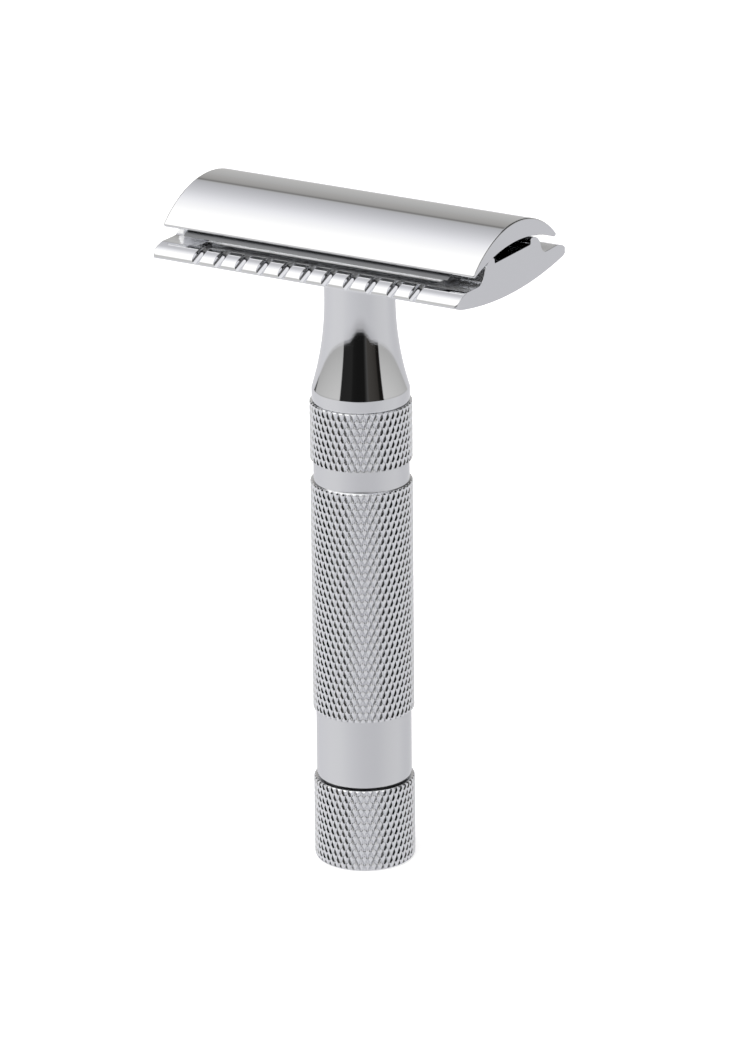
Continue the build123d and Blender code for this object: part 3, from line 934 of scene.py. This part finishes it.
def blade_edge_painted_shade(nodes, place, color, fine, tone, rough):
    """Painted shade: a much darker, rougher strip along the blade's two long edges."""
    y = nodes.math("ABSOLUTE", nodes.split(place)[1])
    # painted shade: the strip's tone falls far below the steel's own
    strip = nodes.smooth(y, 9.64 * MM, 9.7 * MM)
    shade = nodes.math("MULTIPLY_ADD", fine, 0.16, 0.20)
    tone = nodes.mix(strip, tone, nodes.mix(1.0, rgba(color), shade, "MULTIPLY"))
    return tone, nodes.math("MULTIPLY_ADD", strip, 0.14, rough)


def dull_bed(nodes, place, shader, rough):
    """Blade seat and channels of the plate, left less polished."""
    x, y, z = nodes.split(place)
    bed = nodes.math("MULTIPLY",
                     nodes.smooth(nodes.math("ABSOLUTE", y), 11.05 * MM, 10.85 * MM),
                     nodes.smooth(z, 79.90 * MM, 79.98 * MM))
    for axis, start, end in ((x, 21.42, 21.30), (y, 4.44, 4.52)):
        edge = nodes.smooth(nodes.math("ABSOLUTE", axis), start * MM, end * MM)
        bed = nodes.math("MULTIPLY", bed, edge)
    rough = nodes.math("MULTIPLY_ADD", bed, 0.06, rough)
    nodes.put(shader.inputs["Metallic"], nodes.math("MULTIPLY_ADD", bed, -0.22, 1.0))
    return rough


def metal(name, color, rough, grain=(400, 400, 400), grain_bump=0.0, rough_var=0.03,
          lines=None, tint=0.03, knurled=False, shade_blade_edges=False, bed=False):
    """Plated or turned metal: fine grain, soft roughness patches, rubbed edges.
    lines holds the arguments of turned_lines; the flags add painted sheen and darker valley
    patches on knurls, painted shade along the blade's long edges, and a duller plate bed."""
    material, nodes, shader, place = principled(name)
    shader.inputs["Metallic"].default_value = 1.0
    patch = nodes.noise(place, scale=90.0, detail=3.0)
    fine = nodes.noise(nodes.scaled(place, grain), scale=10.0, detail=4.0, rough=0.6)
    tone = nodes.mix(nodes.math("MULTIPLY", patch, tint * 2), rgba(color), rgba(color, 0.88))
    r = nodes.math("MULTIPLY_ADD", patch, rough_var, rough - rough_var * 0.5)
    r = nodes.math("MULTIPLY_ADD", fine, rough_var * 0.6, r)
    normal, r = rubbed_edges(nodes, r)
    height = None
    if lines:
        height, r = turned_lines(nodes, place, r, **lines)
    if grain_bump > 0:
        grains = nodes.math("MULTIPLY", fine, grain_bump)
        height = nodes.math("ADD", height, grains) if lines else grains
    # painted sheen on the knurled zones, darker noise patches in their valleys
    if knurled:
        tone, r = knurl_sheen_and_valley_patches(nodes, place, color, tone, r)
    # painted shade along the blade's long edges
    if shade_blade_edges:
        tone, r = blade_edge_painted_shade(nodes, place, color, fine, tone, r)
    if bed:
        r = dull_bed(nodes, place, shader, r)
    nodes.put(shader.inputs["Base Color"], tone)
    nodes.put(shader.inputs["Roughness"], nodes.math("MAXIMUM", r, 0.01))
    bump = nodes.bump(height, strength=1.0, distance=0.000002)
    nodes.put(bump.inputs["Normal"], normal)
    nodes.put(shader.inputs["Normal"], bump.outputs[0])
    return material


def soft(name, color, rough, scale, bump):
    """Dark rubber or plastic with a fine grain."""
    material, nodes, shader, place = principled(name)
    fine = nodes.noise(place, scale=scale, detail=4.0, rough=0.6)
    broad = nodes.noise(place, scale=scale * 0.1, detail=2.0)
    nodes.put(shader.inputs["Base Color"], nodes.mix(broad, rgba(color), rgba(color, 1.7)))
    nodes.put(shader.inputs["Roughness"], nodes.math("MULTIPLY_ADD", fine, 0.2, rough - 0.1))
    grain = nodes.bump(fine, strength=bump, distance=0.00001)
    nodes.put(shader.inputs["Normal"], grain.outputs[0])
    return material


CHROME = (0.655, 0.66, 0.672)    # reflectance of the chrome plate
chrome = metal("chrome_polished", CHROME, rough=0.02, rough_var=0.015, grain_bump=0.12)
cast_chrome = metal("chrome_casting", CHROME, rough=0.045, rough_var=0.03, grain_bump=0.35,
                    bed=True)
neck_chrome = metal("chrome_neck", CHROME, rough=0.028, rough_var=0.015, grain_bump=0.2,
                    lines=dict(period=0.00016, amount=0.25, jitter=3.0))
# knurled chrome carries a painted sheen and darker valley patches
knurl_chrome = metal("chrome_knurled", CHROME, rough=0.10, rough_var=0.05, grain_bump=0.8,
                     lines=dict(period=0.00021, amount=1.0, jitter=4.0), knurled=True)
# the blade's long edges get painted shade
blade_steel = metal("blade_strip_steel", (0.60, 0.61, 0.63), rough=0.14, rough_var=0.06,
                    grain=(3, 900, 900), grain_bump=1.5, tint=0.1, shade_blade_edges=True)
fine_turning = dict(period=0.00012, amount=1.2, jitter=3.0)
steel = metal("turned_steel", (0.56, 0.57, 0.58), rough=0.22, rough_var=0.08,
              lines=fine_turning)
brass = metal("turned_brass", (0.68, 0.49, 0.22), rough=0.24, rough_var=0.10, tint=0.12,
              lines=fine_turning)
rubber = soft("seal_rubber", (0.012, 0.012, 0.013), rough=0.62, scale=3000.0, bump=0.3)
acetal = soft("black_acetal", (0.010, 0.010, 0.011), rough=0.42, scale=5000.0, bump=0.2)

# piece, material, body it rides, slot, CAD node it replaces
for ob, material, body, slot, node in (
        (cap, chrome, "cap_unit", "chrome_plate", "top_cap"),
        (stud, steel, "cap_unit", "plain_steel", "cap_stud"),
        (blade, blade_steel, "blade_unit", "blade_steel", "blade"),
        (plate, cast_chrome, "handle", "chrome_plate", "base_plate"),
        (neck, neck_chrome, "handle", "satin_chrome", "neck"),
        (tube, knurl_chrome, "handle", "knurled_chrome", "grip_tube"),
        (knob, knurl_chrome, "knob_drive", "knurled_chrome", "knob")):
    ob.data.materials.clear()
    ob.data.materials.append(material)
    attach(ob, body)
    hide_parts(node)

# CAD pieces kept as they are
kept = {"cap_guide_pins": chrome, "upper_bush": brass, "lower_bush": brass,
        "socket_nut": brass, "draw_rod": steel, "retaining_clip": steel,
        "wave_washer": steel, "thrust_washer": brass, "knob_washer": acetal,
        "rod_seal": rubber, "knob_screw": steel}
for node, material in kept.items():
    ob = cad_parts[node]
    if not ob.material_slots:
        ob.data.materials.append(material)
    for material_slot in ob.material_slots:
        material_slot.material = material

# ---------------------------------------------------------------------- camera
CAM_AZIMUTH, CAM_ELEVATION, CAM_ROLL = radians(30.943), radians(19.811), radians(-0.531)
CAM_SHIFT, CAM_AIM_Z, CAM_DISTANCE = 1.600, 44.007, 734.134
CAM_SENSOR, CAM_LENS = 36.0, 202.991486


def build_camera():
    """Camera beyond -Y and +X of the razor; returns its place."""
    back = Vector((sin(CAM_AZIMUTH) * cos(CAM_ELEVATION),
                   -cos(CAM_AZIMUTH) * cos(CAM_ELEVATION), sin(CAM_ELEVATION)))
    right = Vector((cos(CAM_AZIMUTH), sin(CAM_AZIMUTH), 0.0))
    up = back.cross(right)
    rolled_right = right * cos(CAM_ROLL) + up * sin(CAM_ROLL)
    rolled_up = up * cos(CAM_ROLL) - right * sin(CAM_ROLL)
    place = (right * CAM_SHIFT * MM + Vector((0, 0, CAM_AIM_Z * MM))
             + back * CAM_DISTANCE * MM)
    data = bpy.data.cameras.new("camera")
    data.sensor_width = CAM_SENSOR
    data.lens = CAM_LENS
    data.clip_start = 0.01
    data.clip_end = 100.0
    camera = bpy.data.objects.new("camera", data)
    turn = Matrix((rolled_right, rolled_up, back)).transposed().to_4x4()
    camera.matrix_world = Matrix.Translation(place) @ turn
    scene.collection.objects.link(camera)
    scene.camera = camera
    return place


# ----------------------------------------------------------------------- world
# Stops of (angle in degrees, display value from 0 to 255, warmth).
# Azimuth is 0 towards the camera and grows to the camera's right.
TABLE = [(-180, 189, -2.5), (-150, 194, -2.5), (-120, 200, -2.5), (-90, 205, -2),
         (-60, 204, -2), (-30, 195, -2.5), (0, 189, -2.5), (30, 187, -2.5), (60, 194, -2),
         (90, 197, -2), (120, 188, -2.5), (150, 186, -2.5), (180, 189, -2.5)]
ROOM = [(-50, 34), (-24, 36), (-19, 24), (-8, 21), (9, 21), (13, 46), (17, 70),
        (20, 60, 2), (34, 54, 2), (43, 46, 2), (46, 20, 1), (54, 22, 1)]
# By elevation.
CARDS = [(-11, 160), (-6, 166), (-1, 177), (5, 186), (10, 192), (20, 194), (29, 196)]
# By angle about X, from +Y upwards. A long soft light above runs along the
# head: its far edge ends in a thin dark frame, with the back of the room below.
SKY = [(-10, 166), (12, 167), (20, 164), (28, 157, 1), (32.5, 152, 1), (35.4, 146, 1),
       (36.9, 134, 1), (38.2, 112, 1), (39.2, 112), (39.9, 163), (41.5, 168, -1.5),
       (43.8, 174, -2.3), (47.8, 181, -2.5), (53.8, 191.5, -2.5), (59.8, 203.5, -2.5),
       (65.8, 217, -2.5), (71.8, 231, -2.3), (77.8, 242, -1.5), (83.8, 250, -0.5),
       (89.8, 254), (96, 255), (179, 255)]


def linear(v):
    v = v / 255.0
    return v / 12.92 if v <= 0.04045 else ((v + 0.055) / 1.055) ** 2.4


def gray(value, warmth=0.0):
    """Light that chrome shows at a display value. Positive warmth turns it
    towards cream, negative towards lavender."""
    if warmth >= 0:
        tint = (warmth, 0.0, -warmth)
    else:
        tint = (0.0, -0.18 * warmth, -warmth * 2.0)
    return tuple(linear(min(255, value + d)) / f for d, f in zip(tint, CHROME))


def tones(table, half_range):
    """Ramp stops from a table of angles within plus or minus half_range."""
    return [((angle + half_range) / (2 * half_range), gray(*tone)) for angle, *tone in table]


def build_world(cam_place):
    """Pale table below, dark room behind the camera, pale cards at the sides
    and a broad soft light overhead. The camera itself sees plain white."""
    world = bpy.data.worlds.new("studio")
    scene.world = world
    world.use_nodes = True
    nodes = Nodes(world.node_tree)
    calc, smooth, mix = nodes.math, nodes.smooth, nodes.mix
    cam_az = atan2(cam_place.y, cam_place.x)
    x, y, z = nodes.split(nodes.add("ShaderNodeTexCoord").outputs["Generated"])
    to_camera = calc("ADD", calc("MULTIPLY", x, cos(cam_az)), calc("MULTIPLY", y, sin(cam_az)))
    to_right = calc("ADD", calc("MULTIPLY", x, -sin(cam_az)), calc("MULTIPLY", y, cos(cam_az)))
    az = calc("MULTIPLY", calc("ARCTAN2", to_right, to_camera), 180 / pi)
    safe_z = calc("MAXIMUM", calc("MINIMUM", z, 0.99999), -0.99999)
    el = calc("MULTIPLY", calc("ARCSINE", safe_z), 180 / pi)
    az_share = calc("MULTIPLY_ADD", az, 1 / 360, 0.5)
    el_share = calc("MULTIPLY_ADD", el, 1 / 180, 0.5)
    about_x = calc("MULTIPLY", calc("ARCTAN2", z, y), 180 / pi)
    about_x_share = calc("MULTIPLY_ADD", about_x, 1 / 360, 0.5)

    # the near edge of the table darkens towards the camera, and bows away from it
    table = nodes.ramp(az_share, tones(TABLE, 180))
    off_camera = calc("ABSOLUTE", az)
    bowed_el = calc("SUBTRACT", el, smooth(off_camera, 6, 36, 0.0, 3.2))
    front = smooth(off_camera, 62, 8)
    near = calc("MULTIPLY", smooth(bowed_el, -15.5, -9.6), front)
    table = mix(calc("MULTIPLY", near, 0.45), table, rgba(gray(112)))

    room = nodes.ramp(az_share, tones(ROOM, 180))
    cards = nodes.ramp(el_share, tones(CARDS, 90))
    sky = nodes.ramp(about_x_share, tones(SKY, 180))
    sky = mix(1.0, sky, smooth(about_x, 80, 96, 1.0, 1.08), "MULTIPLY")

    # cards at the sides give way to the sky tones behind the razor, with one
    # dark upright strip
    rear = calc("MAXIMUM", smooth(az, 118, 150), smooth(az, -118, -150))
    side = mix(rear, cards, sky)
    strip = nodes.between(az, (-127, -130), (-143, -140))
    side = mix(calc("MULTIPLY", strip, 0.8), side, rgba(gray(40)))
    level = mix(nodes.between(az, (-51.5, -48.5), (56, 53)), side, room)
    low = smooth(bowed_el, -9.4, -10.0)
    high = smooth(el, 26.0, 34.0)
    light = mix(low, level, table)
    light = mix(high, light, sky)

    # shaded corners of the room, seen only in the rounded edges of the head
    floor_el = smooth(az, 86, 104, 20.0, 8.0)
    right = calc("MULTIPLY", nodes.between(az, (54, 62), (168, 160)),
                 calc("MULTIPLY", smooth(calc("SUBTRACT", el, floor_el), 0, 4),
                      smooth(el, 58, 52)))
    left = calc("MULTIPLY", nodes.between(az, (-116, -122), (-162, -157)),
                nodes.between(el, (4, 8), (48, 45)))
    corners = calc("MAXIMUM", right, left)
    light = mix(calc("MULTIPLY", corners, 0.92), light, rgba(gray(55)))

    path = nodes.add("ShaderNodeLightPath")
    light = mix(path.outputs["Is Camera Ray"], light, (1.0, 1.0, 1.0, 1))
    background = nodes.add("ShaderNodeBackground")
    nodes.put(background.inputs[0], light)
    # light that has gone through several narrow gaps is lifted, so that the
    # channels between cap and plate stay readable
    bounces = calc("MAXIMUM", calc("SUBTRACT", path.outputs["Ray Depth"], 2.0), 0.0)
    bounces = calc("MINIMUM", bounces, 6.0)
    nodes.put(background.inputs[1], calc("POWER", 1.34, bounces))
    output = nodes.add("ShaderNodeOutputWorld")
    nodes.put(output.inputs[0], background.outputs[0])


# --------------------------------------------------------------- floor and key
def floor_material():
    """Pale and slightly glowing."""
    material = bpy.data.materials.new("pale_floor")
    material.use_nodes = True
    nodes = Nodes(material.node_tree)
    output = nodes.add("ShaderNodeOutputMaterial")
    diffuse = nodes.add("ShaderNodeBsdfDiffuse")
    diffuse.inputs["Color"].default_value = (0.9, 0.9, 0.9, 1)
    glow = nodes.add("ShaderNodeEmission")
    glow.inputs["Color"].default_value = (1, 1, 1, 1)
    glow.inputs["Strength"].default_value = 0.42
    both = nodes.add("ShaderNodeAddShader")
    nodes.put(both.inputs[0], diffuse.outputs[0])
    nodes.put(both.inputs[1], glow.outputs[0])
    nodes.put(output.inputs[0], both.outputs[0])
    return material


def build_floor(half=3.0, drop=0.00002):
    """Square floor in metres, hidden from reflected and diffuse light."""
    material = floor_material()
    mesh = bpy.data.meshes.new("floor")
    mesh.from_pydata([(-half, -half, 0), (half, -half, 0), (half, half, 0), (-half, half, 0)],
                     [], [[0, 1, 2, 3]])
    floor = bpy.data.objects.new("floor", mesh)
    floor.location = (0, 0, -drop)
    mesh.materials.append(material)
    scene.collection.objects.link(floor)
    floor.visible_glossy = False
    floor.visible_diffuse = False


def build_key():
    """Soft disk light above, beyond -X and -Y, aimed at the handle."""
    light = bpy.data.lights.new("key", "AREA")
    light.shape = "DISK"
    light.size = 0.9
    light.energy = 2.2
    key = bpy.data.objects.new("key", light)
    key.location = (-0.25, -0.35, 0.95)
    aim = Vector((0, 0, 0.04)) - Vector(key.location)
    key.rotation_euler = aim.to_track_quat("-Z", "Y").to_euler()
    key.visible_glossy = False
    key.visible_camera = False
    scene.collection.objects.link(key)


build_world(build_camera())
build_floor()
build_key()

scene.view_settings.view_transform = "Standard"
scene.view_settings.look = "None"
scene.view_settings.exposure = 0.0
scene.view_settings.gamma = 1.0
